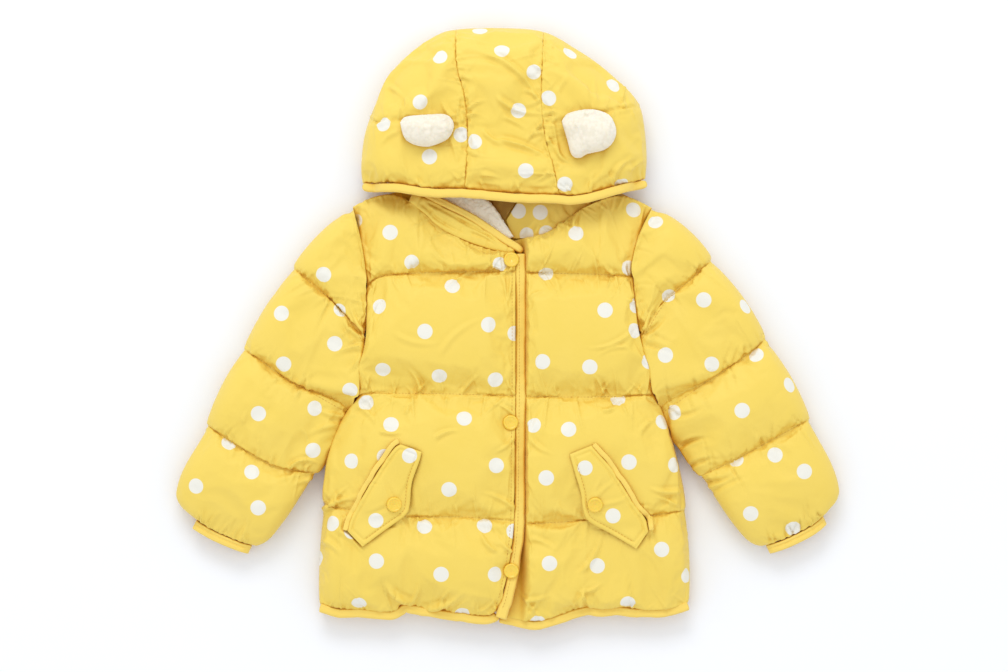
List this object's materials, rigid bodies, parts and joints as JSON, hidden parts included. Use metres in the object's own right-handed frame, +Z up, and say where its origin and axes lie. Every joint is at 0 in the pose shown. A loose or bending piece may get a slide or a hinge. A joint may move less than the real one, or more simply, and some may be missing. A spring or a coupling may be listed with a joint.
{
  "type": "puffer jacket",
  "caption": "Toddler's hooded puffer jacket laid flat on its back, fastened, with quilted puffs, bound edges, slanted pocket flaps and fleece ears on the hood.",
  "frame": {"origin": "under the middle of the jacket, on the surface it lies on", "axes": "+Z up from the surface, through the front; +Y towards the hood; +X towards the wearer's left sleeve"},
  "size_m": [0.5942, 0.5445, 0.07],
  "materials": {
    "shell_cloth": "woven polyester, yellow with cream dots",
    "mustard_tape": "ribbed binding tape",
    "cream_fleece": "short curly fleece",
    "stud_plastic": "moulded, satin"
  },
  "bodies": {
    "root": {"back": "shell_cloth", "front_right": "shell_cloth", "front_left": "shell_cloth", "sleeve_right": "shell_cloth", "sleeve_left": "shell_cloth", "hood_right": "shell_cloth", "hood_center": "shell_cloth", "hood_left": "shell_cloth", "hood_under": "shell_cloth", "collar_right": "shell_cloth", "collar_left": "shell_cloth", "pocket_flap_right": "shell_cloth", "pocket_flap_left": "shell_cloth", "cuff_right": "mustard_tape", "cuff_left": "mustard_tape", "hood_binding": "mustard_tape", "collar_binding_right": "mustard_tape", "collar_binding_left": "mustard_tape", "placket_binding": "mustard_tape", "hem_binding_right": "mustard_tape", "hem_binding_left": "mustard_tape", "hem_binding_back": "mustard_tape", "pocket_welt_right": "mustard_tape", "pocket_welt_left": "mustard_tape", "ear_right": "cream_fleece", "ear_left": "cream_fleece", "hood_fleece": "cream_fleece", "front_stud_1": "stud_plastic", "front_stud_2": "stud_plastic", "front_stud_3": "stud_plastic", "pocket_stud_right": "stud_plastic", "pocket_stud_left": "stud_plastic"}
  },
  "joints": []
}
